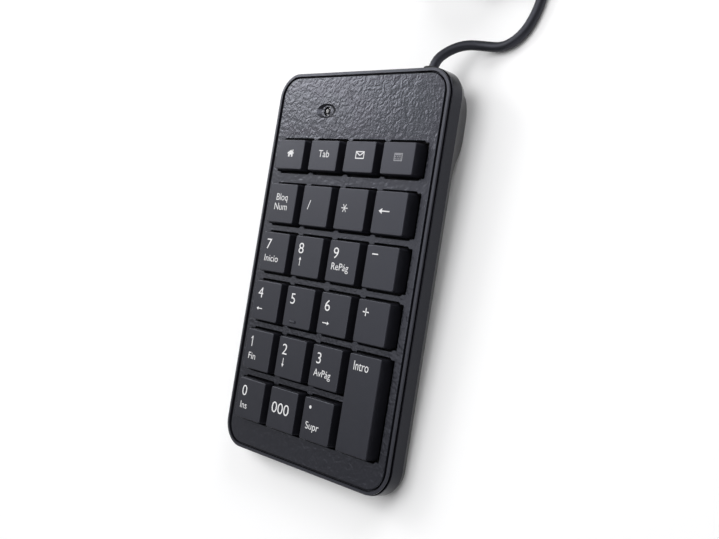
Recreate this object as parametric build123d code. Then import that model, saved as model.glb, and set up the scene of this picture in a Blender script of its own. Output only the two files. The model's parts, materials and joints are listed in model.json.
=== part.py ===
from build123d import *

import os
from math import asin, atan2, cos, degrees, hypot, pi, radians, sin, tan

# A 23-key desk numeric keypad with a captive USB lead. Millimetres throughout.
# Every piece but the lead is drawn in the deck's own frame: X to the right, Y towards the
# rear, Z out of the deck, with Z = 0 on the rim that surrounds the keys. The deck is then
# tipped up at the rear, so that the feet stand on Z = 0 of the part's frame.

# ---------------------------------------------------------------- driving dimensions
CASE_W, CASE_L, CASE_R = 88.8, 147.5, 10.0    # outline of the lower case
WALL = 2.0                                    # side wall of the lower case
WALL_TOP, WALL_FOOT = -1.4, -6.6              # upright part of the side wall
CASE_UNDER, CASE_FLOOR = -9.3, -7.7           # underside and inside of the floor
FLARE = 25.6                                  # the lower wall leans inwards, degrees
REBATE_Z = -3.0                               # ledge that carries the upper frame

RIM_IN = 0.25                                 # the rim stands in from the case outline
RIM_BAND = 1.1                                # width of the rim's top band
GROOVE_X, GROOVE_Y = 1.1, 0.55                # groove round the face plate: sides, ends
RIM_LIP = 0.45                                # height of the rim above the shadow gap
TONGUE_IN = 0.8                               # the frame's tongue, in from the case outline
PLATE_TOP, PLATE_T = -0.15, 1.65              # face plate
PLATE_EDGE, SLOT_EDGE = 0.45, 0.2             # its rounded edge, and the bevel of its slots
WEB_LOW = REBATE_Z                            # underside of the upper frame's web

PITCH = 19.0                                  # key pitch both ways
KEY_W = 15.1                                  # top face of a key
SHORT_KEY = 11.4                              # front to back, keys of the rear row
TALL_KEY = KEY_W + PITCH                      # the key that spans two rows
KEY_TOP, KEY_FOOT = 3.43, -1.9                # top face and skirt edge of a key
SKIRT_X, SKIRT_Y = 0.65, 0.35                 # how far the skirt flares, each side
KEY_WALL, KEY_ROOF, KEY_EDGE = 0.85, 1.5, 0.35
TRAVEL = 2.5                                  # key travel
STEM, STEM_FOOT, STEM_END = 5.2, 6.4, -3.15   # square stem, its foot, and where it ends

COLUMNS = (-1.5 * PITCH, -0.5 * PITCH, 0.5 * PITCH, 1.5 * PITCH)
ROW_2 = 21.9                                  # centre of the second row of keys
ROWS = {1: 40.95, 2: ROW_2, 3: ROW_2 - PITCH, 4: ROW_2 - 2 * PITCH,
        5: ROW_2 - 3 * PITCH, 6: ROW_2 - 4 * PITCH}
SLOT_HALF_X, SLOT_HALF_Y = 38.7, 8.4          # key slots in the face plate
REAR_SLOT_HALF = 6.85
TOOTH_BASE, TOOTH_TIP, TOOTH_H = 1.6, 0.8, 0.7  # teeth between neighbouring keys

GUIDE_LOW, GUIDE_T = -6.3, 1.4                # plate that guides the key stems
TURRET, TURRET_TOP = 8.6, -1.0
DOME_BASE_T, DOME_TOP = 0.5, -3.25
MEMBRANE_T, SPACER_T, BACKING_T = 0.15, 0.1, 0.5
LAYER_HALF_X, LAYER_FRONT, LAYER_REAR = 40.5, -66.0, 49.0

BOARD_LOW, BOARD_T = -6.8, 1.6
LIGHT_X, LIGHT_Y = -16.0, 58.7                # indicator light
DISH_X, DISH_Y, DISH_DEPTH = 5.3, 2.8, 0.7    # half sizes of its oval dish

HUMP_UNDER = -15.4                            # bar that lifts the rear of the deck
FOOT_FRONT_Y, FOOT_REAR_Y = -62.0, 54.0
FRONT_PAD_T, REAR_PAD_T, PAD_SUNK = 0.8, 0.6, 0.4

POST_R, POST_BORE, SCREW_R = 2.1, 1.0, 0.95
POSTS = [(sx * x, y) for x, y in ((33.0, 67.4), (19.0, 12.4), (19.0, -25.6), (33.0, -66.6))
         for sx in (-1, 1)]

CORD_D = 3.5
CORD_X, CORD_Z = 30.2, -4.8                   # where the lead leaves the rear wall
SLEEVE_R, SLEEVE_STOP, SLEEVE_COLLAR = 2.5, 2.75, 2.95
COIL_X, COIL_Y, COIL_R = 42.25, 131.5, 18.5   # put-away lead, radius at mid-turn
COIL_COLUMNS, COIL_LAYERS, COIL_TURNS = 3, 4, 12
COIL_PITCH, LAYER_PITCH = 3.55, 3.45          # turns side by side, and one above another
TIE_GAP, TIE_T, TIE_W = 0.45, 0.75, 5.0       # strap round the coil

# ---------------------------------------------------------------- tipping the deck
pad_front = (FOOT_FRONT_Y, CASE_UNDER - FRONT_PAD_T)
pad_rear = (FOOT_REAR_Y, HUMP_UNDER - REAR_PAD_T)
TILT = degrees(atan2(pad_front[1] - pad_rear[1], pad_rear[0] - pad_front[0]))
LIFT = -(pad_rear[0] * sin(radians(TILT)) + pad_rear[1] * cos(radians(TILT)))
rear_reach = CASE_L / 2 * cos(radians(TILT)) - WALL_FOOT * sin(radians(TILT))
front_reach = -CASE_L / 2 * cos(radians(TILT)) - WALL_TOP * sin(radians(TILT))
SHIFT = -(rear_reach + front_reach) / 2
TO_ROW = Location((0, SHIFT, LIFT)) * Location((0, 0, 0), (TILT, 0, 0))


def upright(width, length, radius, low, high, x=0.0, y=0.0):
    """Prism on a rounded rectangle, from low to high."""
    outline = RectangleRounded(width, length, radius)
    return Pos(x, y, low) * extrude(outline, amount=high - low)


def block(x0, x1, y0, y1, z0, z1):
    """Box between two corners."""
    centre = Pos((x0 + x1) / 2, (y0 + y1) / 2, (z0 + z1) / 2)
    return centre * Box(x1 - x0, y1 - y0, z1 - z0)


def drum(radius, low, high, x=0.0, y=0.0):
    """Upright cylinder."""
    return Pos(x, y, (low + high) / 2) * Cylinder(radius, high - low)


def leaning(width, length, radius, depth):
    """The lower wall's leaning prism, going down from the foot of the upright wall."""
    start = Plane((0, 0, WALL_FOOT), x_dir=(1, 0, 0), z_dir=(0, 0, -1))
    return extrude(start * RectangleRounded(width, length, radius), amount=depth, taper=FLARE)


def edges_at(solid, level, axis=Axis.Z):
    """Edges that lie at one level along an axis."""
    return solid.edges().filter_by_position(axis, level - 0.01, level + 0.01)


# ---------------------------------------------------------------- slots for the keys
def slot(y, half, x0=-SLOT_HALF_X, x1=SLOT_HALF_X):
    """A row's slot. Small teeth stand between neighbouring keys, and half ones at the ends."""
    edge = [(x0, half - TOOTH_H)]
    for boundary in (-2, -1, 0, 1, 2):
        x = boundary * PITCH
        for dx, dy in ((-TOOTH_BASE, 0), (-TOOTH_TIP, TOOTH_H), (TOOTH_TIP, TOOTH_H), (TOOTH_BASE, 0)):
            if x0 < x + dx < x1:
                edge.append((x + dx, half - dy))
    edge.append((x1, half - TOOTH_H))
    points = [(px, y + py) for px, py in edge]
    points += [(px, y - py) for px, py in reversed(edge)]
    outline = make_face(Polyline(*points, close=True))
    return fillet(outline.vertices(), 0.3)


def all_slots():
    tall = (ROWS[5] + ROWS[6]) / 2
    reach = PITCH / 2 + SLOT_HALF_Y - TOOTH_H
    cut = slot(ROWS[1] + 0.1, REAR_SLOT_HALF)
    for row in (2, 3, 4, 5, 6):
        cut += slot(ROWS[row], SLOT_HALF_Y)
    return cut + Pos((20.2 + SLOT_HALF_X) / 2, tall) * Rectangle(SLOT_HALF_X - 20.2, 2 * reach)


SLOTS = all_slots()


# ---------------------------------------------------------------- casings
def face_plate():
    inset = RIM_IN + RIM_BAND + GROOVE_X
    width, length = CASE_W - 2 * inset, CASE_L - 2 * (RIM_IN + RIM_BAND + GROOVE_Y)
    low = PLATE_TOP - PLATE_T
    plate = upright(width, length, CASE_R - inset, low, PLATE_TOP)
    plate = fillet(edges_at(plate, PLATE_TOP), PLATE_EDGE)
    plate -= Pos(0, 0, low) * extrude(SLOTS, amount=PLATE_T)
    slot_edges = edges_at(plate, PLATE_TOP).filter_by(
        lambda edge: abs(edge.center().X) < SLOT_HALF_X + 1 and abs(edge.center().Y) < 66)
    plate = chamfer(slot_edges, SLOT_EDGE)
    dish_top = Pos(LIGHT_X, LIGHT_Y, PLATE_TOP + 0.01) * Ellipse(DISH_X, DISH_Y)
    dish_foot = Pos(LIGHT_X, LIGHT_Y, PLATE_TOP - DISH_DEPTH) * Ellipse(0.62 * DISH_X, 0.75 * DISH_Y)
    plate -= loft([dish_top, dish_foot])
    return plate - drum(1.85, low, PLATE_TOP, LIGHT_X, LIGHT_Y)


def top_frame():
    rim_w, rim_l, rim_r = CASE_W - 2 * RIM_IN, CASE_L - 2 * RIM_IN, CASE_R - RIM_IN
    tongue = 2 * TONGUE_IN
    frame = upright(rim_w, rim_l, rim_r, -RIM_LIP, 0)
    frame = fillet(edges_at(frame, 0), 0.2)
    frame += upright(CASE_W - tongue, CASE_L - tongue, CASE_R - TONGUE_IN, WEB_LOW, -RIM_LIP)
    well = 2 * RIM_BAND
    well_low = PLATE_TOP - PLATE_T
    frame -= upright(rim_w - well, rim_l - well, rim_r - RIM_BAND, well_low, 0)
    frame -= Pos(0, 0, WEB_LOW) * extrude(SLOTS, amount=well_low - WEB_LOW)
    frame -= drum(2.1, WEB_LOW, well_low, LIGHT_X, LIGHT_Y)
    frame -= block(CORD_X - 3.2, CORD_X + 3.2, CASE_L / 2 - 5, CASE_L / 2, WEB_LOW, well_low)
    for x, y in POSTS:
        frame += drum(POST_R, CASE_FLOOR + 0.8, WEB_LOW, x, y)
        frame -= drum(POST_BORE, CASE_FLOOR, WEB_LOW + 0.6, x, y)
    return frame


def hump_profile(inset):
    """Side outline of the rear bar: a soft rise, a flat sole and a round heel."""
    sole = HUMP_UNDER + inset
    heel_r = 8.4 - inset
    start, knee = (36.5 + inset, CASE_UNDER + inset), (44.5 + inset, -12.5 + inset)
    sole_start, sole_end = (52.0, sole), (57.5, sole)
    rise = TangentArc(start, knee, tangent=(1, 0))
    swell = ThreePointArc(knee, (48.1 + 0.8 * inset, -14.68 + inset), sole_start)
    heel = TangentArc(sole_end, (sole_end[0] + heel_r, sole + heel_r), tangent=(1, 0))
    top = CASE_UNDER + 3.0
    back = Polyline(heel @ 1, (sole_end[0] + heel_r, top), (start[0], top), start)
    outline = make_face([rise, swell, Line(sole_start, sole_end), heel, back])
    half = CASE_W / 2
    return extrude(Plane.YZ * outline, amount=half, both=True)


def bottom_case():
    depth = WALL_FOOT - HUMP_UNDER + 1.0
    case = upright(CASE_W, CASE_L, CASE_R, WALL_FOOT, WALL_TOP)
    case = fillet(edges_at(case, WALL_TOP), 0.25)
    lower = leaning(CASE_W, CASE_L, CASE_R, depth)
    slab = block(-50, 50, -80, 80, CASE_UNDER, WALL_FOOT)
    case += lower & (slab + hump_profile(0))
    inner_w, inner_l, inner_r = CASE_W - 2 * WALL, CASE_L - 2 * WALL, CASE_R - WALL
    hollow = leaning(inner_w, inner_l, inner_r, depth) & hump_profile(1.8)
    case -= hollow
    case -= upright(inner_w, inner_l, inner_r, CASE_FLOOR, WALL_TOP)
    rebate = 2 * (TONGUE_IN - 0.1)
    case -= upright(CASE_W - rebate, CASE_L - rebate, CASE_R - rebate / 2, REBATE_Z, WALL_TOP)
    for x, y in POSTS:
        case += drum(3.0, CASE_FLOOR - 0.2, CASE_FLOOR + 0.8, x, y)
        case -= drum(SCREW_R + 0.15, CASE_UNDER, CASE_FLOOR + 0.8, x, y)
        case -= drum(2.2, CASE_UNDER, CASE_FLOOR - 0.2, x, y)
    for x, y, _ in BOARD_SCREWS:
        case += drum(2.2, HUMP_UNDER + 1.0, BOARD_LOW, x, y) & hump_profile(0.6)
        case -= drum(POST_BORE, BOARD_LOW - 5.0, BOARD_LOW, x, y)
    case -= Pos(CORD_X, CASE_L / 2, CORD_Z) * Rot(90, 0, 0) * Cylinder(SLEEVE_R + 0.05, 3 * WALL)
    for x, y, low, sunk in PAD_PLACES:
        pad = pad_outline(low < CASE_UNDER)
        case -= Pos(x, y, low) * extrude(pad, amount=sunk)
    return case


# ---------------------------------------------------------------- keys and what guides them
def keycap(length, tall=False):
    """Hollow cap with a square stem, centred on its own stem, at deck height."""
    foot = Pos(0, 0, KEY_FOOT) * RectangleRounded(KEY_W + 2 * SKIRT_X, length + 2 * SKIRT_Y, 1.2)
    cap = loft([foot, Pos(0, 0, KEY_TOP) * RectangleRounded(KEY_W, length, 0.7)])
    cap = fillet(edges_at(cap, KEY_TOP), KEY_EDGE)
    roof = KEY_TOP - KEY_ROOF
    cap -= upright(KEY_W - 2 * KEY_WALL, length - 2 * KEY_WALL, 0.6, KEY_FOOT, roof)
    cap += block(-STEM / 2, STEM / 2, -STEM / 2, STEM / 2, STEM_END, roof)
    foot_top = STEM_END + 0.4
    cap += block(-STEM_FOOT / 2, STEM_FOOT / 2, -STEM_FOOT / 2, STEM_FOOT / 2, STEM_END, foot_top)
    if tall:
        cap += wire_hooks(roof)
    return cap


def tactile_bar():
    """Raised bar on the home key, near its front edge."""
    return Pos(-2.0, -5.6, KEY_TOP - 0.1) * extrude(RectangleRounded(3.2, 0.7, 0.3), amount=0.4)


# Wire that keeps the tall key level: two arms on a pivot, joined by a long bar.
WIRE_R, ARM = 0.6, 7.0
WIRE_SWING = 2 * degrees(asin(TRAVEL / 2 / ARM))
PIVOT_X, PIVOT_Z = 1.4, -2.4
ARM_Y, PIN_Y, HOOK_Y = 13.0, 15.2, 9.0
BAR_X = PIVOT_X - ARM * cos(radians(WIRE_SWING / 2))
BAR_Z = PIVOT_Z + ARM * sin(radians(WIRE_SWING / 2))


def wire_hooks(roof):
    """Two slotted hooks under the tall key that hold the wire's bar."""
    hooks = Part()
    for side in (-1, 1):
        y0, y1 = side * HOOK_Y - 0.8, side * HOOK_Y + 0.8
        hook = block(-6.9, -4.3, y0, y1, BAR_Z - 0.95, roof)
        hook -= block(BAR_X - 0.85, BAR_X + 0.75, y0, y1, BAR_Z - 0.7, BAR_Z + 0.7)
        hook -= block(BAR_X - 0.5, BAR_X + 0.4, y0, y1, BAR_Z - 1.0, BAR_Z)
        hooks += hook
    return hooks


def stabiliser_wire():
    tall_x, tall_y = COLUMNS[3], (ROWS[5] + ROWS[6]) / 2
    points = [(PIVOT_X, -PIN_Y, PIVOT_Z), (PIVOT_X, -ARM_Y, PIVOT_Z), (BAR_X, -ARM_Y, BAR_Z),
              (BAR_X, ARM_Y, BAR_Z), (PIVOT_X, ARM_Y, PIVOT_Z), (PIVOT_X, PIN_Y, PIVOT_Z)]
    path = FilletPolyline(*points, radius=0.95)
    wire = sweep(Plane(path @ 0, z_dir=path % 0) * Circle(WIRE_R), path=path)
    return Pos(tall_x, tall_y, 0) * wire


def key_guide_frame():
    """Plate with a turret under each key, whose square bore guides the key's stem."""
    plate_top = GUIDE_LOW + GUIDE_T
    width, front, rear = 2 * 41.9, LAYER_FRONT - 1.0, LAYER_REAR
    length, middle = rear - front, (rear + front) / 2
    frame = upright(width, length, 3.0, GUIDE_LOW, WEB_LOW, 0, middle)
    frame -= upright(width - 3.2, length - 3.2, 1.6, plate_top, WEB_LOW, 0, middle)
    chamber_top = STEM_END + 0.5
    for x, y in KEY_CENTRES:
        frame += upright(TURRET, TURRET, 0.5, plate_top, TURRET_TOP, x, y)
        frame -= upright(7.0, 7.0, 0.3, plate_top, chamber_top, x, y)
        frame -= drum(4.8, GUIDE_LOW, plate_top, x, y)
        frame -= upright(5.4, 5.4, 0.2, chamber_top, TURRET_TOP, x, y)
    tall_x, tall_y = COLUMNS[3], (ROWS[5] + ROWS[6]) / 2
    pin_x = tall_x + PIVOT_X
    for side in (-1, 1):
        near, far = sorted((tall_y + side * 14.0, tall_y + side * 15.6))
        lug = block(pin_x - 1.2, pin_x + 1.2, near, far, plate_top, PIVOT_Z + 1.0)
        lug -= Pos(pin_x, (near + far) / 2, PIVOT_Z) * Rot(90, 0, 0) * Cylinder(WIRE_R + 0.07, 3)
        frame += lug
    for x, y in POSTS:
        frame -= drum(POST_R + 0.2, GUIDE_LOW, WEB_LOW, x, y)
    return frame


# ---------------------------------------------------------------- switch layers
def layer(low, thick, hole, tongue):
    """Flat sheet under the keys, cleared round the case screws, with a tongue at the rear."""
    middle = (LAYER_REAR + LAYER_FRONT) / 2
    length = LAYER_REAR - LAYER_FRONT
    sheet = upright(2 * LAYER_HALF_X, length, 3.0, low, low + thick, 0, middle)
    if tongue:
        sheet += block(-22, 14, LAYER_REAR - 1, LAYER_REAR + 6.5, low, low + thick)
    for x, y in POSTS:
        if LAYER_FRONT - 4 < y < LAYER_REAR + 4:
            sheet -= drum(hole, low, low + thick, x, y)
    return sheet


BACKING_LOW = CASE_FLOOR
LOWER_LOW = BACKING_LOW + BACKING_T
SPACER_LOW = LOWER_LOW + MEMBRANE_T
UPPER_LOW = SPACER_LOW + SPACER_T
DOME_LOW = UPPER_LOW + MEMBRANE_T


def membrane_spacer():
    """Separating sheet, with a round window under each dome."""
    sheet = layer(SPACER_LOW, SPACER_T, 3.6, False)
    for x, y in KEY_CENTRES:
        sheet -= drum(2.5, SPACER_LOW, SPACER_LOW + SPACER_T, x, y)
    return sheet


def dome_sheet():
    """One silicone sheet with a hollow collapsing dome under each key."""
    sheet = layer(DOME_LOW, GUIDE_LOW - DOME_LOW, 3.6, False)
    top = DOME_TOP
    skin = 0.45
    outer = [(0, DOME_LOW), (4.3, DOME_LOW), (4.3, GUIDE_LOW), (3.1, GUIDE_LOW + 1.5),
             (2.3, top), (0, top)]
    hollow = [(0, DOME_LOW), (3.8, DOME_LOW), (3.8, GUIDE_LOW - 0.1), (3.1 - skin, GUIDE_LOW + 1.4),
              (2.3 - skin, top - 0.9), (0, top - 0.9)]
    shell = revolve(Plane.XZ * make_face(Polyline(*outer, close=True)), Axis.Z)
    void = revolve(Plane.XZ * make_face(Polyline(*hollow, close=True)), Axis.Z)
    for x, y in KEY_CENTRES:
        sheet += Pos(x, y, 0) * shell
    for x, y in KEY_CENTRES:
        sheet -= Pos(x, y, 0) * void
    return sheet


# ---------------------------------------------------------------- electronics
BOARD_TOP = BOARD_LOW + BOARD_T
CLAMP_T = 1.0
BOARD_SCREWS = [(-25.0, 53.0, BOARD_TOP + CLAMP_T), (17.0, 53.0, BOARD_TOP + CLAMP_T),
                (-4.0, 60.5, BOARD_TOP)]
HEADER_X, HEADER_Y = 20.5, 61.0


def circuit_board():
    board = block(-34, 27, 50.5, 65.6, BOARD_LOW, BOARD_TOP)
    for x, y, _ in BOARD_SCREWS:
        board -= drum(SCREW_R + 0.15, BOARD_LOW, BOARD_TOP, x, y)
    return board


def controller_chip():
    """Small-outline package with its two rows of legs."""
    x, y = 4.0, 58.5
    body = block(x - 5, x + 5, y - 2, y + 2, BOARD_TOP + 0.1, BOARD_TOP + 1.5)
    for k in range(8):
        leg_x = x - 4.4 + 1.257 * k
        for side in (-1, 1):
            y0, y1 = sorted((y + side * 1.9, y + side * 3.0))
            body += block(leg_x - 0.2, leg_x + 0.2, y0, y1, BOARD_TOP, BOARD_TOP + 0.3)
    return body


def indicator_led():
    """Light-emitting diode, standing on the board under the lens."""
    stem = drum(1.45, BOARD_TOP, BOARD_TOP + 1.2, LIGHT_X, LIGHT_Y)
    head = Pos(LIGHT_X, LIGHT_Y, BOARD_TOP + 1.2) * Sphere(1.1)
    return stem + (head & drum(1.45, BOARD_TOP + 1.0, BOARD_TOP + 2.3, LIGHT_X, LIGHT_Y))


def light_lens():
    """Clear lens: a slim domed tip in the dish's hole, on a shank that fills the hole."""
    shank_low, shank_top = PLATE_TOP - PLATE_T - 0.9, PLATE_TOP - PLATE_T + 0.2
    tip_top = PLATE_TOP - DISH_DEPTH + 0.1
    tip = drum(1.1, shank_top, tip_top, LIGHT_X, LIGHT_Y)
    tip = fillet(edges_at(tip, tip_top), 0.5)
    return tip + drum(1.8, shank_low, shank_top, LIGHT_X, LIGHT_Y)


def clamp_bar():
    """Steel bar that presses the board onto the membranes' tongue."""
    bar = block(-28, 20, 51.3, 54.7, BOARD_TOP, BOARD_TOP + CLAMP_T)
    for x, y, seat in BOARD_SCREWS:
        if seat > BOARD_TOP:
            bar -= drum(SCREW_R + 0.15, BOARD_TOP, seat, x, y)
    return bar


def pan_screw(x, y, seat, length, downwards=True):
    """Self-tapping screw, drawn plain, with a low head and a cross recess."""
    way = 1 if downwards else -1
    head = drum(1.9, 0, 1.1, 0, 0)
    head = fillet(edges_at(head, 1.1), 0.4)
    head -= block(-1.1, 1.1, -0.2, 0.2, 0.6, 1.1) + block(-0.2, 0.2, -1.1, 1.1, 0.6, 1.1)
    screw = head + drum(SCREW_R, -length, 0)
    if way < 0:
        screw = Rot(180, 0, 0) * screw
    return Pos(x, y, seat) * screw


def cord_header():
    """White plug-in header that the lead's wires go to."""
    x, y = HEADER_X, HEADER_Y
    return block(x - 4.2, x + 4.2, y - 2, y + 2, BOARD_TOP, BOARD_TOP + 2.0)


def lead_wires():
    """Four thin wires from the lead's end to the header."""
    wires = []
    for k in range(4):
        end_x = HEADER_X - 2.7 + 1.8 * k
        dx, dz = 0.45 * (k % 2 * 2 - 1), 0.45 * (k // 2 * 2 - 1)
        points = [(CORD_X + dx, 69.92, CORD_Z + dz), (CORD_X + dx - 0.8, 67.6, CORD_Z + dz),
                  (end_x + 1.2, 65.2, BOARD_TOP + 1.0), (end_x, HEADER_Y + 2.0, BOARD_TOP + 1.0)]
        path = FilletPolyline(*points, radius=0.9)
        wires.append(sweep(Plane(path @ 0, z_dir=path % 0) * Circle(0.38), path=path))
    return Compound(wires)


# ---------------------------------------------------------------- feet and label
def pad_outline(rear):
    return RectangleRounded(16.0, 5.0, 2.4) if rear else Circle(5.0)


PAD_ROWS = ((33.0, FOOT_FRONT_Y + 4.5, CASE_UNDER), (27.0, FOOT_REAR_Y + 0.7, HUMP_UNDER))
PAD_PLACES = [(side * x, y, low, PAD_SUNK) for x, y, low in PAD_ROWS for side in (-1, 1)]


def feet(rear):
    """Rubber pads, sunk into the underside and cut level with what the keypad stands on."""
    above = Pos(0, 0, 100) * Box(400, 400, 200)
    pads = []
    for x, y, low, sunk in PAD_PLACES:
        if (low < CASE_UNDER) == rear:
            pad = Pos(x, y, low - 3.0) * extrude(pad_outline(rear), amount=3.0 + sunk)
            pads.append((TO_ROW * pad) & above)
    return Compound(pads)


def rating_label():
    """Blank sticker on the underside."""
    return upright(38, 20, 1.0, CASE_UNDER - 0.1, CASE_UNDER, 0, -8)


# ---------------------------------------------------------------- lead, coil and plug
# The lead's route, in the part's own frame. It leaves the rear wall, drops to the table,
# swings round and runs to the coil.
CORD_ROUTE = [(30.2, 69.95, 12.0), (30.2, 76.4, 12.33), (33.2, 81.6, 9.3), (38.2, 84.6, 6.3),
              (44.2, 84.8, 3.0), (51.4, 84.2, 1.75), (58.6, 88.2, 1.75), (62.8, 96.0, 1.75),
              (64.4, 106.0, 1.75), (64.6, 119.0, 1.75), (64.3, 132.5, 1.85)]

# The tail comes down round the outside of the coil and runs to the plug.
TAIL_ROUTE = [(64.3, 129.4, 12.1), (63.9, 144.0, 11.3), (55.3, 154.1, 9.6), (42.2, 157.6, 7.6),
              (29.2, 154.1, 5.4), (20.2, 147.9, 3.4), (13.2, 144.4, 1.9), (6.6, 143.0, 2.6),
              (0.0, 143.0, 4.0)]
PLUG_X, PLUG_Y, PLUG_Z = 1.2, 143.0, 4.0      # cord end of the plug's boot
BOOT_L, GRIP_L, SHELL_L = 11.0, 24.0, 18.8
GRIP_W, GRIP_T = 15.5, 8.0
SHELL_W, SHELL_T, SHELL_SKIN = 12.0, 4.5, 0.3


def cord_tube(name, route):
    """Straight runs joined by arcs as large as their runs allow."""
    points = [Vector(*p) for p in route]
    radii = []
    for before, here, after in zip(points, points[1:], points[2:]):
        turn = (here - before).get_angle(after - here)
        run = min((here - before).length, (after - here).length)
        radii.append(0.45 * run / tan(radians(turn / 2)))
    print(name, "radii", [round(r, 1) for r in radii])
    path = FilletPolyline(*points, radius=radii)
    tube = sweep(Plane(path @ 0, z_dir=path % 0) * Circle(CORD_D / 2), path=path)
    share = tube.volume / (pi * (CORD_D / 2) ** 2 * path.length)
    print(name, "length", round(path.length, 1), "volume over section times length", round(share, 4))
    return tube


def cord_coil():
    """Outer shape of the wound lead: a ring of three turns by four layers."""
    width, height = COIL_COLUMNS * COIL_PITCH, COIL_LAYERS * LAYER_PITCH
    section = Pos(COIL_R, height / 2) * RectangleRounded(width, height, 0.45 * CORD_D)
    ring = revolve(Plane.XZ * section, Axis.Z)
    return Pos(COIL_X, COIL_Y, 0) * ring


def cord_tie():
    """Flat strap round the coil's bundle, at the side away from the keypad."""
    width, height = COIL_COLUMNS * COIL_PITCH, COIL_LAYERS * LAYER_PITCH
    inside, outside = 2 * TIE_GAP, 2 * (TIE_GAP + TIE_T)
    strap = RectangleRounded(width + outside, height + outside, 2.4)
    strap -= RectangleRounded(width + inside, height + inside, 1.7)
    turned = Plane((COIL_X, COIL_Y - COIL_R, height / 2), x_dir=(0, 1, 0), z_dir=(1, 0, 0))
    loop = extrude(turned * strap, amount=TIE_W / 2, both=True)
    return loop & block(0, 2 * COIL_X, 0, COIL_Y, 0, 2 * height)


def cord_grommet():
    """Rubber sleeve in the rear wall, with a flange on each side of it."""
    outer_face = CASE_L / 2
    inner_face = outer_face - WALL
    turn = Rot(-90, 0, 0)
    sleeve = Pos(0, inner_face - 1.0, 0) * turn * extrude(Circle(SLEEVE_R), amount=WALL + 2.0)
    collar = Pos(0, outer_face, 0) * turn * extrude(Circle(SLEEVE_COLLAR), amount=1.0)
    collar = fillet(edges_at(collar, outer_face + 1.0, Axis.Y), 0.4)
    stop = Pos(0, inner_face - 1.0, 0) * turn * extrude(Circle(SLEEVE_STOP), amount=1.0)
    hole = Pos(0, inner_face - 2.0, 0) * turn * extrude(Circle(CORD_D / 2), amount=8.0)
    return Pos(CORD_X, 0, CORD_Z) * (sleeve + collar + stop - hole)


def plug_overmould():
    """Moulded grip with a tapered, ribbed boot where the lead enters."""
    start = Plane((PLUG_X, PLUG_Y, PLUG_Z), x_dir=(0, -1, 0), z_dir=(-1, 0, 0))
    boot = loft([start * Circle(2.6), start.offset(BOOT_L) * RectangleRounded(9.0, 6.0, 2.6)])
    ribs = Part()
    for k in range(4):
        at = 1.8 + 2.3 * k
        wide = 5.4 + 1.0 * k
        ribs += extrude(start.offset(at) * RectangleRounded(wide, 5.1 + 0.35 * k, 2.5), amount=1.1)
    grip = extrude(start.offset(BOOT_L) * RectangleRounded(GRIP_W, GRIP_T, 2.2), amount=GRIP_L)
    grip = fillet(grip.faces().sort_by(Axis.X)[-1].edges(), 1.2)
    grip = fillet(grip.faces().sort_by(Axis.X)[0].edges(), 0.6)
    body = boot + ribs + grip
    for side in (-1, 1):
        recess = Pos(PLUG_X - BOOT_L - 13.0, PLUG_Y, PLUG_Z + side * GRIP_T / 2)
        body -= recess * extrude(RectangleRounded(13.0, 8.0, 2.5), amount=0.4, both=True)
    socket = start.offset(BOOT_L + GRIP_L - 6.0) * Rectangle(SHELL_W, SHELL_T)
    body -= extrude(socket, amount=6.0)
    return body - extrude(start * Circle(CORD_D / 2), amount=4.0)


def plug_shell():
    """Folded steel shell with two square latch windows in each broad face."""
    start = Plane((PLUG_X - BOOT_L - GRIP_L + 6.0, PLUG_Y, PLUG_Z), x_dir=(0, -1, 0), z_dir=(-1, 0, 0))
    length = SHELL_L + 6.0
    skin = 2 * SHELL_SKIN
    inside = RectangleRounded(SHELL_W - skin, SHELL_T - skin, 0.25)
    shell = extrude(start * RectangleRounded(SHELL_W, SHELL_T, 0.5), amount=length)
    shell -= extrude(start.offset(0.5) * inside, amount=length)
    for dy in (-2.9, 2.9):
        shell -= Pos(PLUG_X - BOOT_L - GRIP_L - 8.0, PLUG_Y + dy, PLUG_Z) * Box(2.4, 2.3, 2 * SHELL_T)
    return shell


def plug_tongue():
    """White insulating tongue that fills half of the shell."""
    end = PLUG_X - BOOT_L - GRIP_L - SHELL_L
    high = PLUG_Z + SHELL_T / 2 - SHELL_SKIN - 0.05
    half = SHELL_W / 2 - SHELL_SKIN - 0.15
    root_x = PLUG_X - BOOT_L - GRIP_L + 5.4
    tongue = block(end + 0.6, root_x, PLUG_Y - half, PLUG_Y + half, high - 1.84, high)
    base = block(PLUG_X - BOOT_L - GRIP_L, root_x, PLUG_Y - half, PLUG_Y + half, PLUG_Z - 1.9, high)
    tongue += base
    for y, z in contact_places():
        tongue -= block(end + 1.0, root_x, y - 0.5, y + 0.5, z, z + 0.2)
    return tongue


def contact_places():
    low = PLUG_Z + SHELL_T / 2 - SHELL_SKIN - 0.05 - 1.84
    return [(PLUG_Y + dy, low) for dy in (-3.5, -1.0, 1.0, 3.5)]


def plug_contacts():
    """Four gilt contact strips along the tongue."""
    end = PLUG_X - BOOT_L - GRIP_L - SHELL_L
    front = (end + 1.0, end + 1.0 + 8.6)
    return Compound([block(front[0], front[1], y - 0.5, y + 0.5, z, z + 0.2) for y, z in contact_places()])


# ---------------------------------------------------------------- the keys by name
KEYS = [("key_home", 0, 1), ("key_tab", 1, 1), ("key_mail", 2, 1), ("key_calculator", 3, 1),
        ("key_num_lock", 0, 2), ("key_divide", 1, 2), ("key_multiply", 2, 2), ("key_backspace", 3, 2),
        ("key_7", 0, 3), ("key_8", 1, 3), ("key_9", 2, 3), ("key_minus", 3, 3),
        ("key_4", 0, 4), ("key_5", 1, 4), ("key_6", 2, 4), ("key_plus", 3, 4),
        ("key_1", 0, 5), ("key_2", 1, 5), ("key_3", 2, 5), ("key_enter", 3, 5.5),
        ("key_0", 0, 6), ("key_triple_zero", 1, 6), ("key_decimal", 2, 6)]


def key_centre(column, row):
    y = (ROWS[5] + ROWS[6]) / 2 if row == 5.5 else ROWS[row]
    return COLUMNS[column], y


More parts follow.
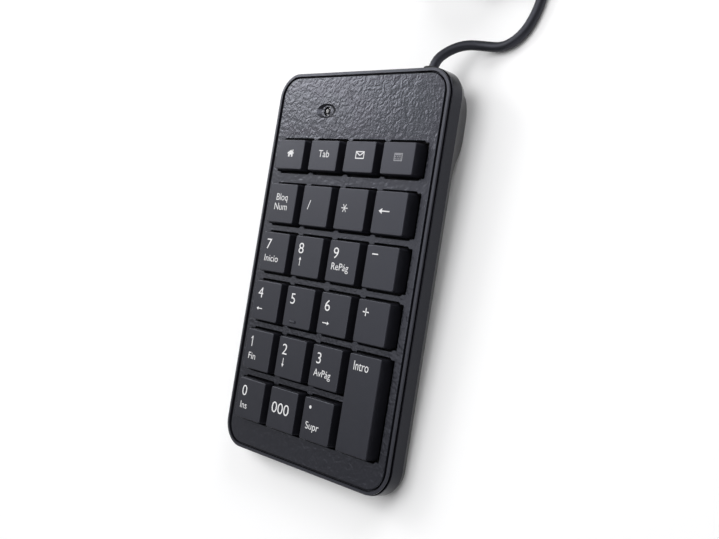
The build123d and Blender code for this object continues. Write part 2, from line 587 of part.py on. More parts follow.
KEY_CENTRES = [key_centre(column, row) for _, column, row in KEYS]


# ---------------------------------------------------------------- all pieces
def build():
    """Every piece by name: those drawn in the deck's frame, then those already in place."""
    deck = {}
    for name, column, row in KEYS:
        length = {1: SHORT_KEY, 5.5: TALL_KEY}.get(row, KEY_W)
        cap = keycap(length, tall=row == 5.5)
        if name == "key_5":
            cap += tactile_bar()
        x, y = key_centre(column, row)
        deck[name] = Pos(x, y, 0) * cap
    for piece in (face_plate, top_frame, bottom_case, key_guide_frame, stabiliser_wire,
                  membrane_spacer, dome_sheet, circuit_board, controller_chip, indicator_led,
                  light_lens, clamp_bar, cord_header, lead_wires, rating_label, cord_grommet):
        deck[piece.__name__] = piece()
    deck["backing_plate"] = layer(BACKING_LOW, BACKING_T, 3.6, True)
    deck["membrane_lower"] = layer(LOWER_LOW, MEMBRANE_T, 3.6, True)
    deck["membrane_upper"] = layer(UPPER_LOW, MEMBRANE_T, 3.6, True)
    deck["board_screws"] = Compound([pan_screw(x, y, seat, 5.5) for x, y, seat in BOARD_SCREWS])
    seat = CASE_FLOOR - 0.2
    deck["case_screws"] = Compound([pan_screw(x, y, seat, 4.6, downwards=False) for x, y in POSTS])
    pieces = {name: TO_ROW * solid for name, solid in deck.items()}
    pieces["front_feet"] = feet(rear=False)
    pieces["rear_feet"] = feet(rear=True)
    pieces["cord"] = cord_tube("cord", CORD_ROUTE)
    pieces["cord_tail"] = cord_tube("cord_tail", TAIL_ROUTE)
    for piece in (cord_coil, cord_tie, plug_overmould, plug_shell, plug_tongue, plug_contacts):
        pieces[piece.__name__] = piece()
    return pieces


def main():
    os.makedirs("parts", exist_ok=True)
    lead = hypot(COIL_PITCH, 2 * pi * COIL_R) * COIL_TURNS
    print("tilt", round(TILT, 4), "shift", round(SHIFT, 4), "lift", round(LIFT, 4))
    print("coil holds", round(lead))
    for name, solid in build().items():
        export_step(solid, f"parts/{name}.step")


main()
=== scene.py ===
import json
import math

import bmesh
import bpy
from mathutils import Matrix, Vector

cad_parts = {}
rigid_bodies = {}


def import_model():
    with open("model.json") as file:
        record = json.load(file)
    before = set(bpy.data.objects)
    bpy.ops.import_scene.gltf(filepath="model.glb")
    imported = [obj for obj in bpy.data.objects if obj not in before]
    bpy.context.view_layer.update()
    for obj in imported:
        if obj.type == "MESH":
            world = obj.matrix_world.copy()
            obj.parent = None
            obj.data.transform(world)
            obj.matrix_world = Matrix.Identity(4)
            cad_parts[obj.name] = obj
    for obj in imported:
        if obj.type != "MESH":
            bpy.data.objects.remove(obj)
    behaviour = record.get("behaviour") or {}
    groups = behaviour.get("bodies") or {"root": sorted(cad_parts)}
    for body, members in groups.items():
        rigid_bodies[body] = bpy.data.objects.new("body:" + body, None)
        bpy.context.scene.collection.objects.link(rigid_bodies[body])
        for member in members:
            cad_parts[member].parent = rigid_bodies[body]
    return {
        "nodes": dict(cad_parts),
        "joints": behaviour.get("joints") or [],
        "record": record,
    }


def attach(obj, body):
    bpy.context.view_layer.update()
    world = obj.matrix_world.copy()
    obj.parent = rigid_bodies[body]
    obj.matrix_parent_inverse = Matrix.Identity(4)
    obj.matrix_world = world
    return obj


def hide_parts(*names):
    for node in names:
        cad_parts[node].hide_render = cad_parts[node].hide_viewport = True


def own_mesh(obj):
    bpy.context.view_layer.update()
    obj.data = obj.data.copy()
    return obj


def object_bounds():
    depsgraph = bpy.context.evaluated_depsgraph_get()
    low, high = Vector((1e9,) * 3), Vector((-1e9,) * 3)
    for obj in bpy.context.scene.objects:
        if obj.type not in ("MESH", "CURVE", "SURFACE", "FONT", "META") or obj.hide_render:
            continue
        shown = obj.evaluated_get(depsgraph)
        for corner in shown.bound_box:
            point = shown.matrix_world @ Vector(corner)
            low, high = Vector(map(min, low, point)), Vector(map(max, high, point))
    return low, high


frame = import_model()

# A black desk numeric keypad on a pale table. Numbers are millimetres, and MM turns them into
# Blender's metres. Legends are laid out on the top face of their key.
MM = 0.001
CAD_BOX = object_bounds()
NODES = frame["nodes"]
PRESSES = [joint for joint in frame["joints"] if joint["type"] == "slide"]
BASE = PRESSES[0]["parent"]

# The deck's own axes. A key is pressed straight down into the deck.
UP = -Vector(PRESSES[0]["axis"]).normalized()
ACROSS = Vector((1.0, 0.0, 0.0))
AWAY = UP.cross(ACROSS)


def add(name, data):
    """A new object of that data, in the scene."""
    thing = bpy.data.objects.new(name, data)
    bpy.context.scene.collection.objects.link(thing)
    return thing


def mesh_of(name, shape):
    """The mesh of a bmesh, which is used up."""
    mesh = bpy.data.meshes.new(name)
    shape.to_mesh(mesh)
    shape.free()
    return mesh


# ------------------------------------------------------------------------- finishes
RAMP_LOW, RAMP_HIGH = 0.3, 0.7   # the range that most of a noise's values lie in


class Finish:
    """A principled material whose colour, roughness and relief come from noise in place."""

    def __init__(self, name, **values):
        self.material = bpy.data.materials.new(name)
        self.material.use_nodes = True
        self.nodes = self.material.node_tree.nodes
        self.links = self.material.node_tree.links
        self.shader = self.nodes["Principled BSDF"]
        self.place = self.nodes.new("ShaderNodeTexCoord").outputs["Object"]
        self.relief = None
        for socket, value in values.items():
            self.shader.inputs[socket.replace("_", " ")].default_value = value

    def stretched(self, along):
        """The place, squeezed along each axis."""
        mapping = self.nodes.new("ShaderNodeMapping")
        mapping.inputs["Scale"].default_value = along
        self.links.new(self.place, mapping.inputs["Vector"])
        return mapping.outputs["Vector"]

    def noise(self, size_mm, detail=2.0, place=None, twist=0.0):
        """Noise whose features are about size_mm across."""
        node = self.nodes.new("ShaderNodeTexNoise")
        node.inputs["Scale"].default_value = 1.0 / (size_mm * MM)
        node.inputs["Detail"].default_value = detail
        node.inputs["Distortion"].default_value = twist
        self.links.new(place or self.place, node.inputs["Vector"])
        return node.outputs["Fac"]

    def waves(self, height, times):
        """Sine of a height times a number: level lines of it, side by side."""
        scaled = self.nodes.new("ShaderNodeMath")
        scaled.operation = "MULTIPLY"
        scaled.inputs[1].default_value = times
        self.links.new(height, scaled.inputs[0])
        sine = self.nodes.new("ShaderNodeMath")
        sine.operation = "SINE"
        self.links.new(scaled.outputs["Value"], sine.inputs[0])
        return sine.outputs["Value"]

    def between(self, factor, low, high):
        """A number that goes from low to high as the factor does over its middle range."""
        node = self.nodes.new("ShaderNodeMapRange")
        node.inputs["From Min"].default_value = RAMP_LOW
        node.inputs["From Max"].default_value = RAMP_HIGH
        node.inputs["To Min"].default_value = low
        node.inputs["To Max"].default_value = high
        self.links.new(factor, node.inputs["Value"])
        return node.outputs["Result"]

    def colour(self, factor, *stops):
        """Base colour from a ramp of (position, colour)."""
        ramp = self.nodes.new("ShaderNodeValToRGB")
        elements = ramp.color_ramp.elements
        for spare in list(elements)[1:]:
            elements.remove(spare)
        for k, (position, value) in enumerate(stops):
            stop = elements[0] if k == 0 else elements.new(position)
            stop.position = position
            stop.color = (*value, 1.0)
        self.links.new(factor, ramp.inputs["Fac"])
        self.links.new(ramp.outputs["Color"], self.shader.inputs["Base Color"])

    def roughness(self, factor, low, high):
        """Roughness from low to high as the factor goes."""
        self.links.new(self.between(factor, low, high), self.shader.inputs["Roughness"])

    def bump(self, height, depth_mm):
        """Relief of that depth, on top of the relief already there."""
        node = self.nodes.new("ShaderNodeBump")
        node.inputs["Strength"].default_value = 1.0
        node.inputs["Distance"].default_value = depth_mm * MM
        self.links.new(height, node.inputs["Height"])
        if self.relief is not None:
            self.links.new(self.relief, node.inputs["Normal"])
        self.relief = node.outputs["Normal"]
        self.links.new(self.relief, self.shader.inputs["Normal"])


def mottled(finish, colour, size_mm, change):
    """Slight cloudiness of the colour."""
    dark = tuple(c * (1 - change) for c in colour)
    light = tuple(c * (1 + change) for c in colour)
    finish.colour(finish.noise(size_mm, 3.0), (RAMP_LOW, dark), (RAMP_HIGH, light))


COOL = (0.80, 0.83, 1.0, 1.0)    # black plastics reflect a little blue
KEY_BLACK = (0.0085, 0.0086, 0.0115)


def satin(name, colour, rough, grain_mm, depth_mm, **values):
    """Moulded plastic or rubber with a fine even grain."""
    finish = Finish(name, **values)
    mottled(finish, colour, 7.0, 0.07)
    finish.roughness(finish.noise(2.5, 3.0), rough - 0.04, rough + 0.04)
    finish.bump(finish.noise(grain_mm, 2.0), depth_mm)
    return finish.material


def key_plastic():
    return satin("key_plastic", KEY_BLACK, 0.36, 0.16, 0.003, Specular_Tint=COOL)


def pebbled_plastic():
    """Hammered face plate: low uneven pebbles that catch the light one by one."""
    finish = Finish("pebbled_plastic", Specular_Tint=COOL)
    mottled(finish, KEY_BLACK, 5.0, 0.08)
    finish.roughness(finish.noise(1.6, 2.0), 0.19, 0.25)
    pebbles = finish.noise(2.4, 0.7, twist=1.2)
    wrinkles = finish.noise(0.9, 1.0, twist=0.6)
    finish.bump(pebbles, 0.14)
    finish.bump(wrinkles, 0.035)
    return finish.material


def frame_plastic():
    return satin("frame_plastic", (0.014, 0.014, 0.018), 0.36, 0.20, 0.003, Specular_Tint=COOL)


def case_plastic():
    return satin("case_plastic", (0.003, 0.003, 0.0042), 0.20, 0.22, 0.003, Specular_Tint=COOL,
                 Specular_IOR_Level=0.36)


def guide_plastic():
    return satin("guide_plastic", (0.003, 0.003, 0.004), 0.60, 0.30, 0.010,
                 Specular_IOR_Level=0.2)


def foot_rubber():
    return satin("foot_rubber", (0.018, 0.018, 0.019), 0.75, 0.18, 0.012)


def cord_jacket():
    """Smooth extruded jacket with faint lengthwise unevenness."""
    finish = Finish("cord_jacket", Specular_Tint=COOL)
    mottled(finish, (0.008, 0.008, 0.010), 3.0, 0.10)
    finish.roughness(finish.noise(1.2, 2.0), 0.40, 0.50)
    finish.bump(finish.noise(0.35, 2.0), 0.008)
    finish.bump(finish.noise(6.0, 1.0), 0.05)
    return finish.material


def plug_plastic():
    return satin("plug_plastic", (0.020, 0.020, 0.022), 0.42, 0.16, 0.006)


def silicone():
    """Milky translucent silicone."""
    finish = Finish("silicone", Subsurface_Weight=0.3, Subsurface_Scale=0.002, IOR=1.41)
    mottled(finish, (0.70, 0.70, 0.68), 4.0, 0.04)
    finish.roughness(finish.noise(1.0, 2.0), 0.48, 0.60)
    finish.bump(finish.noise(0.25, 2.0), 0.006)
    return finish.material


def polyester_film():
    """Clear film with printed silver tracks."""
    finish = Finish("polyester_film", IOR=1.6)
    tracks = finish.waves(finish.noise(9.0, 0.0), 60.0)
    finish.colour(tracks, (0.55, (0.66, 0.70, 0.67)), (0.62, (0.40, 0.41, 0.42)))
    finish.roughness(finish.noise(1.5, 2.0), 0.14, 0.24)
    return finish.material


def metal(name, colour, rough, grain, along):
    """Rolled or plated metal with fine streaks along one way."""
    finish = Finish(name, Metallic=1.0)
    streaks = finish.noise(grain, 3.0, place=finish.stretched(along))
    finish.colour(streaks, (0.35, tuple(c * 0.88 for c in colour)), (0.65, colour))
    finish.roughness(streaks, rough - 0.06, rough + 0.06)
    finish.bump(streaks, 0.002)
    return finish.material


def steel_sheet():
    return metal("steel_sheet", (0.56, 0.57, 0.58), 0.34, 0.30, (0.06, 1.0, 1.0))


def screw_steel():
    return metal("screw_steel", (0.55, 0.55, 0.57), 0.26, 0.25, (1.0, 1.0, 1.0))


def shell_steel():
    return metal("shell_steel", (0.72, 0.72, 0.74), 0.20, 0.25, (0.10, 1.0, 1.0))


def contact_gilt():
    return metal("contact_gilt", (0.83, 0.62, 0.28), 0.22, 0.20, (0.10, 1.0, 1.0))


def circuit_laminate():
    """Green solder mask over copper tracks."""
    finish = Finish("circuit_laminate", IOR=1.5)
    tracks = finish.noise(2.2, 0.0, place=finish.stretched((1.0, 0.35, 1.0)))
    finish.colour(tracks, (0.47, (0.010, 0.085, 0.035)), (0.49, (0.020, 0.150, 0.060)),
                  (0.52, (0.020, 0.150, 0.060)), (0.54, (0.010, 0.085, 0.035)))
    finish.roughness(finish.noise(0.8, 2.0), 0.24, 0.34)
    finish.bump(tracks, 0.03)
    return finish.material


def chip_resin():
    return satin("chip_resin", (0.016, 0.016, 0.017), 0.62, 0.14, 0.010)


def light_plastic():
    """Clear lens, faintly smoked so that the dark inside shows through."""
    finish = Finish("light_plastic", Transmission_Weight=0.5, IOR=1.49)
    finish.colour(finish.noise(1.5, 1.0), (RAMP_LOW, (0.07, 0.07, 0.08)),
                  (RAMP_HIGH, (0.10, 0.10, 0.11)))
    finish.roughness(finish.noise(0.8, 1.0), 0.08, 0.14)
    return finish.material


def white_nylon():
    return satin("white_nylon", (0.78, 0.77, 0.73), 0.46, 0.20, 0.006, Subsurface_Weight=0.1,
                 Subsurface_Scale=0.001)


def wire_insulation():
    return satin("wire_insulation", (0.42, 0.07, 0.05), 0.42, 0.25, 0.006)


def label_film():
    """Blank silver sticker."""
    finish = Finish("label_film", Metallic=0.35)
    mottled(finish, (0.50, 0.51, 0.52), 3.0, 0.03)
    finish.roughness(finish.noise(0.9, 2.0), 0.34, 0.44)
    finish.bump(finish.noise(0.3, 1.0), 0.003)
    return finish.material


def printed_ink(name, thin, full):
    """Printed ink, very slightly uneven: its colour where it is thin and where it is full."""
    finish = Finish(name, Specular_IOR_Level=0.3)
    finish.colour(finish.noise(0.5, 2.0), (RAMP_LOW, thin), (RAMP_HIGH, full))
    finish.roughness(finish.noise(0.4, 1.0), 0.45, 0.55)
    return finish.material


FINISHES = {
    "key_plastic": key_plastic, "textured_plastic": pebbled_plastic,
    "frame_plastic": frame_plastic, "case_plastic": case_plastic,
    "guide_plastic": guide_plastic, "silicone": silicone, "polyester_film": polyester_film,
    "steel_sheet": steel_sheet, "screw_steel": screw_steel,
    "circuit_laminate": circuit_laminate, "chip_resin": chip_resin,
    "light_plastic": light_plastic, "white_nylon": white_nylon,
    "wire_insulation": wire_insulation, "foot_rubber": foot_rubber, "label_film": label_film,
    "cord_jacket": cord_jacket, "plug_plastic": plug_plastic, "shell_steel": shell_steel,
    "contact_gilt": contact_gilt,
}


def dress_nodes():
    """Gives every CAD piece the finish of its own material slot."""
    made = {slot: make() for slot, make in FINISHES.items()}
    for part in frame["record"]["subparts"]:
        node = NODES[part["node"]]
        node.data.materials.clear()
        node.data.materials.append(made[part["material_slot"]])
    return made


MADE = dress_nodes()
INK = printed_ink("legend_ink", (0.66, 0.66, 0.67), (0.72, 0.72, 0.73))
GREY = printed_ink("grey_ink", (0.26, 0.26, 0.28), (0.32, 0.32, 0.34))


# ------------------------------------------------------------------------- legends
INK_DEPTH = 0.02                 # how far the ink stands out of the key, and is sunk in it
DIGIT, WORD = 3.9, 2.5           # heights of capitals
DIGIT_WIDE = 1.12                # how much the digits are widened
LEFT = -5.2                      # where digits and words start, about
STROKE = 0.42                    # line width of drawn signs
THIN_DIGIT, THIN_WORD = -0.022, -0.006     # added to each side of the letters' strokes


def reach(node, direction):
    """How far a CAD piece reaches along a direction: lowest and highest."""
    spread = [vertex.co.dot(direction) for vertex in NODES[node].data.vertices]
    return min(spread), max(spread)


FACE_HEIGHT = reach("key_home", UP)[1]


def face_of(key):
    """Matrix from a key's top face, with its origin in the middle, to the row frame."""
    centre = sum(reach(key, ACROSS)) / 2 * ACROSS + sum(reach(key, AWAY)) / 2 * AWAY
    turn = Matrix((ACROSS, AWAY, UP)).transposed().to_4x4()
    return Matrix.Translation(centre + FACE_HEIGHT * UP) @ turn


def capital_height():
    """Height of a capital letter of the built-in font at size 1."""
    sample = bpy.data.curves.new("sample", "FONT")
    sample.body = "H"
    thing = add("sample", sample)
    bpy.context.view_layer.update()
    height = thing.dimensions.y
    bpy.data.objects.remove(thing)
    return height


CAPITAL = capital_height()


def lettering(key, name, text, x, y, height, centred=False, wide=1.0, thin=THIN_WORD):
    """Letters on a key. x is their left edge, or their middle, and y the foot of the capitals."""
    curve = bpy.data.curves.new(name, "FONT")
    curve.body = text
    curve.size = height * MM / CAPITAL
    curve.extrude = INK_DEPTH * MM
    curve.offset = thin * MM
    curve.align_x = "CENTER" if centred else "LEFT"
    curve.materials.append(INK)
    piece = add(name, curve)
    place = Matrix.Translation((x * MM, y * MM, 0.0))
    piece.matrix_world = face_of(key) @ place @ Matrix.Diagonal((wide, 1.0, 1.0, 1.0))
    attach(piece, key)


def sign(key, name, outlines, ink=INK):
    """A drawn sign on a key: a thin prism on each outline."""
    shape = bmesh.new()
    for outline in outlines:
        rings = [[shape.verts.new((x * MM, y * MM, level * INK_DEPTH * MM)) for x, y in outline]
                 for level in (-1, 1)]
        shape.faces.new(list(reversed(rings[0])))
        shape.faces.new(rings[1])
        for k in range(len(outline)):
            after = (k + 1) % len(outline)
            shape.faces.new((rings[0][k], rings[0][after], rings[1][after], rings[1][k]))
    bmesh.ops.recalc_face_normals(shape, faces=shape.faces)
    piece = add(name, mesh_of(name, shape))
    piece.data.materials.append(ink)
    piece.matrix_world = face_of(key)
    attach(piece, key)


def bar(x0, y0, x1, y1, width=STROKE):
    """Outline of a straight line of ink."""
    run = Vector((x1 - x0, y1 - y0)).normalized() * (width / 2)
    side = Vector((-run.y, run.x))
    return [(x0 - side.x, y0 - side.y), (x1 - side.x, y1 - side.y),
            (x1 + side.x, y1 + side.y), (x0 + side.x, y0 + side.y)]


def dot(x, y, radius, corners=20):
    """Outline of a round dot."""
    turns = [2 * math.pi * k / corners for k in range(corners)]
    return [(x + radius * math.cos(a), y + radius * math.sin(a)) for a in turns]


def asterisk(x, y, reach_out, stroke):
    """Three lines that cross at (x, y)."""
    ways = [(reach_out * math.cos(math.radians(turn)), reach_out * math.sin(math.radians(turn)))
            for turn in (0, 60, 120)]
    return [bar(x - dx, y - dy, x + dx, y + dy, stroke) for dx, dy in ways]


def box_lines(x, y, width, height, stroke):
    """Four lines round a rectangle."""
    w, h, s = width / 2, height / 2, stroke / 2
    return [bar(x - w, y - h + s, x + w, y - h + s, stroke),
            bar(x - w, y + h - s, x + w, y + h - s, stroke),
            bar(x - w + s, y - h + stroke, x - w + s, y + h - stroke, stroke),
            bar(x + w - s, y - h + stroke, x + w - s, y + h - stroke, stroke)]


def arrow(x, y, length, head, degrees, stroke=STROKE):
    """Outline of an arrow about its middle, pointing to +X when degrees is 0."""
    half, s, h = length / 2, stroke / 2, head / 2
    neck = half - head * 0.8
    points = [(-half, -s), (neck, -s), (neck, -h), (half, 0.0), (neck, h), (neck, s), (-half, s)]
    c, n = math.cos(math.radians(degrees)), math.sin(math.radians(degrees))
    return [(x + c * px - n * py, y + n * px + c * py) for px, py in points]


def digits():
    """The digits. The 1 is drawn as a stem and a flag."""
    for digit in "78945623":
        lettering(f"key_{digit}", f"legend_{digit}", digit, LEFT - 0.1, 1.0, DIGIT,
                  wide=DIGIT_WIDE, thin=THIN_DIGIT)
    sign("key_1", "legend_1", [bar(-4.05, 1.05, -4.05, 1.05 + DIGIT),
                               bar(-4.95, 4.0, -4.05, 4.75, 0.36)])
    lettering("key_0", "legend_0", "0", LEFT - 0.15, 1.0, DIGIT, wide=1.1, thin=THIN_DIGIT)
    lettering("key_triple_zero", "legend_000", "000", LEFT - 0.75, -1.65, DIGIT,
              wide=1.17, thin=THIN_DIGIT)


def words():
    """The names of keys, in words: foot and width of each."""
    named = {"key_7": ("Inicio", -3.7, 1.06), "key_9": ("RePág", -3.1, 1.02),
             "key_1": ("Fin", -3.8, 1.08), "key_3": ("AvPág", -3.5, 0.98),
             "key_0": ("Ins", -3.8, 1.04), "key_decimal": ("Supr", -3.5, 1.05)}
    for key, (word, foot, wide) in named.items():
        lettering(key, f"word_{key}", word, LEFT - 0.15, foot, WORD, wide=wide)
    lettering("key_enter", "word_enter", "Intro", LEFT, 11.6, WORD * 1.26, wide=0.81)
    lettering("key_tab", "word_tab", "Tab", 0.25, -0.6, 2.6, centred=True, wide=1.02)
    lettering("key_num_lock", "word_lock", "Bloq", -0.5, 1.1, 2.6, centred=True)
    lettering("key_num_lock", "word_num", "Num", -0.5, -2.6, 2.6, centred=True)


def signs():
    """The arrows, the signs of arithmetic and the pictograms."""
    arrows = {"key_4": (-3.15, -3.2, 3.3, 180), "key_6": (-3.25, -3.4, 3.5, 0),
              "key_8": (-3.45, -1.95, 3.3, 90), "key_2": (-3.65, -1.95, 3.3, 270)}
    for key, (x, y, length, turn) in arrows.items():
        sign(key, f"arrow_{key}", [arrow(x, y, length, 1.35, turn, 0.33)])
    sign("key_backspace", "arrow_backspace", [arrow(-2.35, 0.45, 5.2, 2.0, 180, 0.4)])
    sign("key_divide", "sign_divide", [bar(-4.0, -1.4, -2.8, 2.1, 0.36)])
    sign("key_multiply", "sign_multiply", asterisk(-3.15, 0.3, 1.6, 0.3))
    sign("key_minus", "sign_minus", [bar(-4.75, 4.4, -1.85, 4.4)])
    sign("key_plus", "sign_plus", [bar(-4.75, 3.25, -1.85, 3.25), bar(-3.3, 1.85, -3.3, 4.65)])
    sign("key_decimal", "sign_decimal", [dot(-4.05, 4.25, 0.58)])
    home_sign()
    mail_sign()
    calculator_sign()


def home_sign():
    """A small house: roof, chimney and two door posts."""
    roof = [(-1.75, 0.5), (0.25, 1.75), (2.15, 0.5), (1.5, 0.15), (0.25, 0.95), (-1.1, 0.15)]
    posts = [[(-1.05, -0.9), (-0.2, -0.9), (-0.2, 0.6), (-1.05, 0.1)],
             [(0.7, -0.9), (1.5, -0.9), (1.5, 0.1), (0.7, 0.6)]]
    lintel = [(-0.2, -0.1), (0.7, -0.1), (0.7, 0.62), (0.25, 0.9), (-0.2, 0.62)]
    chimney = [(1.05, 1.0), (1.55, 0.85), (1.55, 1.9), (1.05, 1.9)]
    sign("key_home", "sign_home", [roof, *posts, lintel, chimney])


def mail_sign():
    """An envelope with its flap."""
    lines = box_lines(0.3, 0.66, 4.4, 2.8, 0.38)
    lines += [bar(-1.7, 1.75, 0.3, 0.5, 0.4), bar(0.3, 0.5, 2.3, 1.75, 0.4)]
    sign("key_mail", "sign_mail", lines)


def calculator_sign():
    """A calculator: frame, display and buttons."""
    lines = box_lines(0.2, 0.42, 3.9, 2.8, 0.28)
    lines.append(bar(-1.3, 1.2, 1.7, 1.2, 0.3))
    for row in (0.5, -0.25):
        for column in (-1.05, -0.2, 0.65, 1.45):
            lines.append(bar(column - 0.2, row, column + 0.2, row, 0.35))
    sign("key_calculator", "sign_calculator", lines, GREY)


# ------------------------------------------------------------------------- the raised bar
BAR_X, BAR_Y = -2.0, -5.6        # its middle on the 5 key
BAR_STRAIGHT, BAR_R, BAR_HIGH = 2.5, 0.5, 0.46   # its length between the round ends, and section


def tactile_bar():
    """Rounded raised bar of the 5 key, over the CAD one: a ball pulled apart at its middle."""
    shape = bmesh.new()
    bmesh.ops.create_uvsphere(shape, u_segments=24, v_segments=12, radius=1.0)
    for vertex in shape.verts:
        x, y, z = vertex.co
        pulled = math.copysign(BAR_STRAIGHT / 2, x) if abs(x) > 1e-6 else 0.0
        vertex.co = ((BAR_R * x + pulled + BAR_X) * MM, (BAR_R * y + BAR_Y) * MM,
                     BAR_HIGH * z * MM)
    for face in shape.faces:
        face.smooth = True
    piece = add("tactile_bar", mesh_of("tactile_bar", shape))
    piece.data.materials.append(MADE["key_plastic"])
    piece.matrix_world = face_of("key_5")
    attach(piece, "key_5")


# ------------------------------------------------------------------------- the domes
KEY_TOP, SHEET_TOP = 3.43, -6.3  # heights over the deck: keys' top faces, the silicone sheet
CUT_OVER = 0.02                  # the domes are cut off this far over the sheet
DOME_REACH = 6.0                 # a dome lies within this of its key's middle


def silicone_piece(name, shape):
    """A piece of the silicone sheet, from a closed bmesh."""
    piece = add(name, mesh_of(name, shape))
    piece.data.materials.append(MADE["silicone"])
    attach(piece, BASE)
    return piece


def cut_sheet(level, above):
    """The CAD sheet's part above or below a level, closed where it is cut."""
    shape = bmesh.new()
    shape.from_mesh(NODES["dome_sheet"].data)
    bmesh.ops.remove_doubles(shape, verts=shape.verts, dist=1e-6)
    bmesh.ops.bisect_plane(shape, geom=[*shape.verts, *shape.edges, *shape.faces],
                           plane_co=level, plane_no=UP, clear_inner=above, clear_outer=not above)
    rim = [edge for edge in shape.edges if edge.is_boundary]
    bmesh.ops.triangle_fill(shape, edges=rim, use_beauty=True)
    bmesh.ops.recalc_face_normals(shape, faces=shape.faces)
    return shape


def domes():
    """The silicone sheet and its domes, each dome a piece of its own with its own mesh."""
    level = UP * (FACE_HEIGHT + (SHEET_TOP - KEY_TOP + CUT_OVER) * MM)
    sheet = silicone_piece("dome_base", cut_sheet(level, above=False))
    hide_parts("dome_sheet")
    every = cut_sheet(level, above=True)
    for joint in PRESSES:
        middle = face_of(joint["child"]).translation
        shape = every.copy()
        far = [face for face in shape.faces
               if (face.calc_center_median() - middle).cross(UP).length > DOME_REACH * MM]
        bmesh.ops.delete(shape, geom=far, context="FACES")
        dome = silicone_piece("dome_" + joint["child"], shape)
        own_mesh(dome)
    every.free()


# ------------------------------------------------------------------------- the lead
CORD_D = 3.5
COIL_X, COIL_Y, COIL_R = 42.25, 131.5, 18.5      # its middle, and its radius at mid-turn
COIL_COLUMNS, COIL_LAYERS = 3, 4
COIL_PITCH, LAYER_PITCH = 3.55, 3.45             # turns side by side, and one above another
TURN_POINTS = 20
CROSSING = 0.8                   # part of a turn after which the lead steps to the next one

# The route of the lead from the rear wall to the coil, and of its tail from the coil to the
# plug, in millimetres.
CORD_ROUTE = [(30.2, 69.95, 12.0), (30.2, 76.4, 12.33), (33.2, 81.6, 9.3), (38.2, 84.6, 6.3),
              (44.2, 84.8, 3.0), (51.4, 84.2, 1.75), (58.6, 88.2, 1.75), (62.8, 96.0, 1.75),
              (64.4, 106.0, 1.75), (64.6, 119.0, 1.75), (64.3, 132.5, 1.85)]
TAIL_ROUTE = [(64.3, 129.4, 12.1), (63.9, 144.0, 11.3), (55.3, 154.1, 9.6), (42.2, 157.6, 7.6),
              (29.2, 154.1, 5.4), (20.2, 147.9, 3.4), (13.2, 144.4, 1.9), (6.6, 143.0, 2.6),
              (0.0, 143.0, 4.0)]


def lane(turn):
    """Radius and layer of a whole turn. The layers are wound inwards and outwards by turns."""
    layer, step = divmod(turn, COIL_COLUMNS)
    column = step if layer % 2 else COIL_COLUMNS - 1 - step
    return COIL_R + (column - (COIL_COLUMNS - 1) / 2) * COIL_PITCH, layer


def coil_point(turns):
    """Where the wound lead is after a number of turns, counted from the keypad's side."""
    last = COIL_COLUMNS * COIL_LAYERS - 1
    whole = min(int(turns), last)
    here, after = lane(whole), lane(min(whole + 1, last))
    share = max(0.0, (turns - whole - CROSSING) / (1 - CROSSING))
    radius = here[0] + (after[0] - here[0]) * share
    layer = here[1] + (after[1] - here[1]) * share
    radius /= math.cos(math.pi / TURN_POINTS)
    angle = 2 * math.pi * turns
    return (COIL_X + radius * math.cos(angle), COIL_Y + radius * math.sin(angle),
            CORD_D / 2 + layer * LAYER_PITCH)


def lead():
    """The whole lead as one smooth curve: route, coil and tail."""
    turns = COIL_COLUMNS * COIL_LAYERS
    wound = [coil_point(k / TURN_POINTS) for k in range(1, turns * TURN_POINTS)]
    points = CORD_ROUTE + wound + TAIL_ROUTE
    curve = bpy.data.curves.new("lead", "CURVE")
    curve.dimensions = "3D"
    spline = curve.splines.new("NURBS")
    spline.points.add(len(points) - 1)
    for point, (x, y, z) in zip(spline.points, points):
        point.co = (x * MM, y * MM, z * MM, 1.0)
    spline.order_u = 3
    spline.use_endpoint_u = True
    spline.resolution_u = 5
    curve.bevel_depth = CORD_D / 2 * MM
    curve.bevel_resolution = 5
    curve.use_fill_caps = True
    curve.materials.append(MADE["cord_jacket"])
    piece = add("lead", curve)
    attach(piece, BASE)
    own = ("cord", "cord_coil", "cord_tail")
    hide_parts(*own)


# ------------------------------------------------------------------------- studio
# The camera's place, in metres, and its own axes.
CAMERA_AT = Vector((0.26033, -0.01387, 0.25650))
CAMERA_RIGHT = Vector((0.69953, 0.19464, -0.68759))
CAMERA_UP = Vector((-0.08919, 0.97845, 0.18625))
LENS, SHIFT = 48.91, (-0.0047, -0.0347)          # on a sensor 36 mm wide

# Soft lights that look at the keypad: bearing, elevation, distance, width, height, watts. The
# bearing is in degrees, and 0 is in front of the keypad. Distances and sizes are in metres.
LIGHTS = {
    "rear_left": (235.0, 50.0, 1.1, 1.3, 1.3, 5.2),
    "glint": (245.0, 34.0, 1.05, 0.34, 0.34, 2.5),
    "left": (286.0, 36.0, 1.1, 0.8, 0.8, 0.6),
    "overhead": (180.0, 80.0, 1.3, 1.0, 1.0, 8.5),
    "rear_right": (150.0, 22.0, 0.9, 0.5, 0.35, 3.5),
    "front": (20.0, 25.0, 1.2, 0.9, 0.5, 2.0),
}
AMBIENT = 0.2
FLOOR_HALF, FLOOR_GAP = 3.0, 0.05 * MM           # half its side, and how far under the feet it is


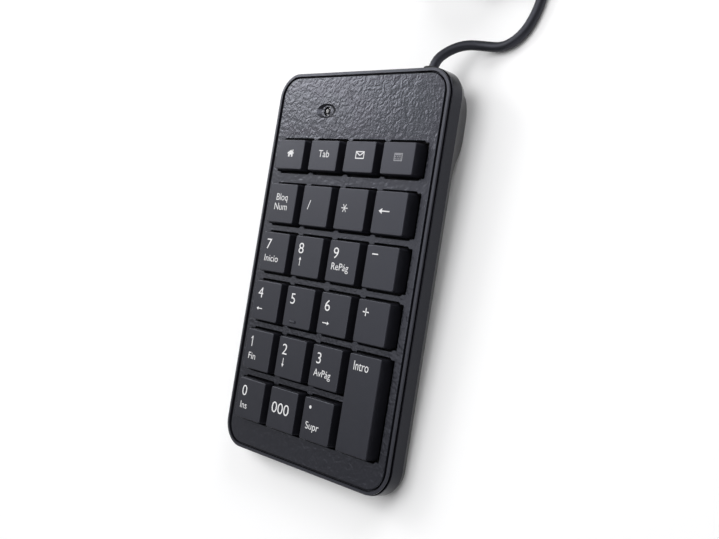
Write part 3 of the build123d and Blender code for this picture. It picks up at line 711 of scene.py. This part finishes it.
def camera():
    """The camera, at the photograph's viewing angle."""
    data = bpy.data.cameras.new("camera")
    data.sensor_width = 36.0
    data.lens = LENS
    data.shift_x, data.shift_y = SHIFT
    data.clip_start = 0.01
    seat = add("camera", data)
    right, up = CAMERA_RIGHT.normalized(), CAMERA_UP.normalized()
    turn = Matrix((right, up, right.cross(up))).transposed().to_4x4()
    seat.matrix_world = Matrix.Translation(CAMERA_AT) @ turn
    bpy.context.scene.camera = seat


def softbox(name, bearing, elevation, distance, width, height, watts):
    data = bpy.data.lights.new(name, "AREA")
    data.shape = "RECTANGLE"
    data.size, data.size_y = width, height
    data.energy = watts
    a, e = math.radians(bearing), math.radians(elevation)
    way = Vector((math.sin(a) * math.cos(e), -math.cos(a) * math.cos(e), math.sin(e)))
    light = add(name, data)
    light.location = way * distance
    light.rotation_mode = "QUATERNION"
    light.rotation_quaternion = way.to_track_quat("Z", "Y")


def floor():
    """Plain pale table top, under the feet."""
    mesh = bpy.data.meshes.new("floor")
    half, low = FLOOR_HALF, CAD_BOX[0].z - FLOOR_GAP
    corners = [(-half, -half, low), (half, -half, low), (half, half, low), (-half, half, low)]
    mesh.from_pydata(corners, [], [(0, 1, 2, 3)])
    finish = Finish("floor", Specular_IOR_Level=0.2)
    finish.colour(finish.noise(400.0, 1.0), (RAMP_LOW, (0.88, 0.88, 0.885)),
                  (RAMP_HIGH, (0.90, 0.90, 0.905)))
    finish.roughness(finish.noise(300.0, 1.0), 0.75, 0.85)
    mesh.materials.append(finish.material)
    add("floor", mesh)


def studio():
    """White surroundings and the soft lights."""
    world = bpy.data.worlds.new("studio")
    world.use_nodes = True
    background = world.node_tree.nodes["Background"]
    background.inputs["Color"].default_value = (1.0, 1.0, 1.0, 1.0)
    background.inputs["Strength"].default_value = AMBIENT
    bpy.context.scene.world = world
    bpy.context.scene.view_settings.view_transform = "Standard"
    for name, values in LIGHTS.items():
        softbox(name, *values)


camera()
lead()
digits()
words()
signs()
tactile_bar()
domes()
floor()
studio()
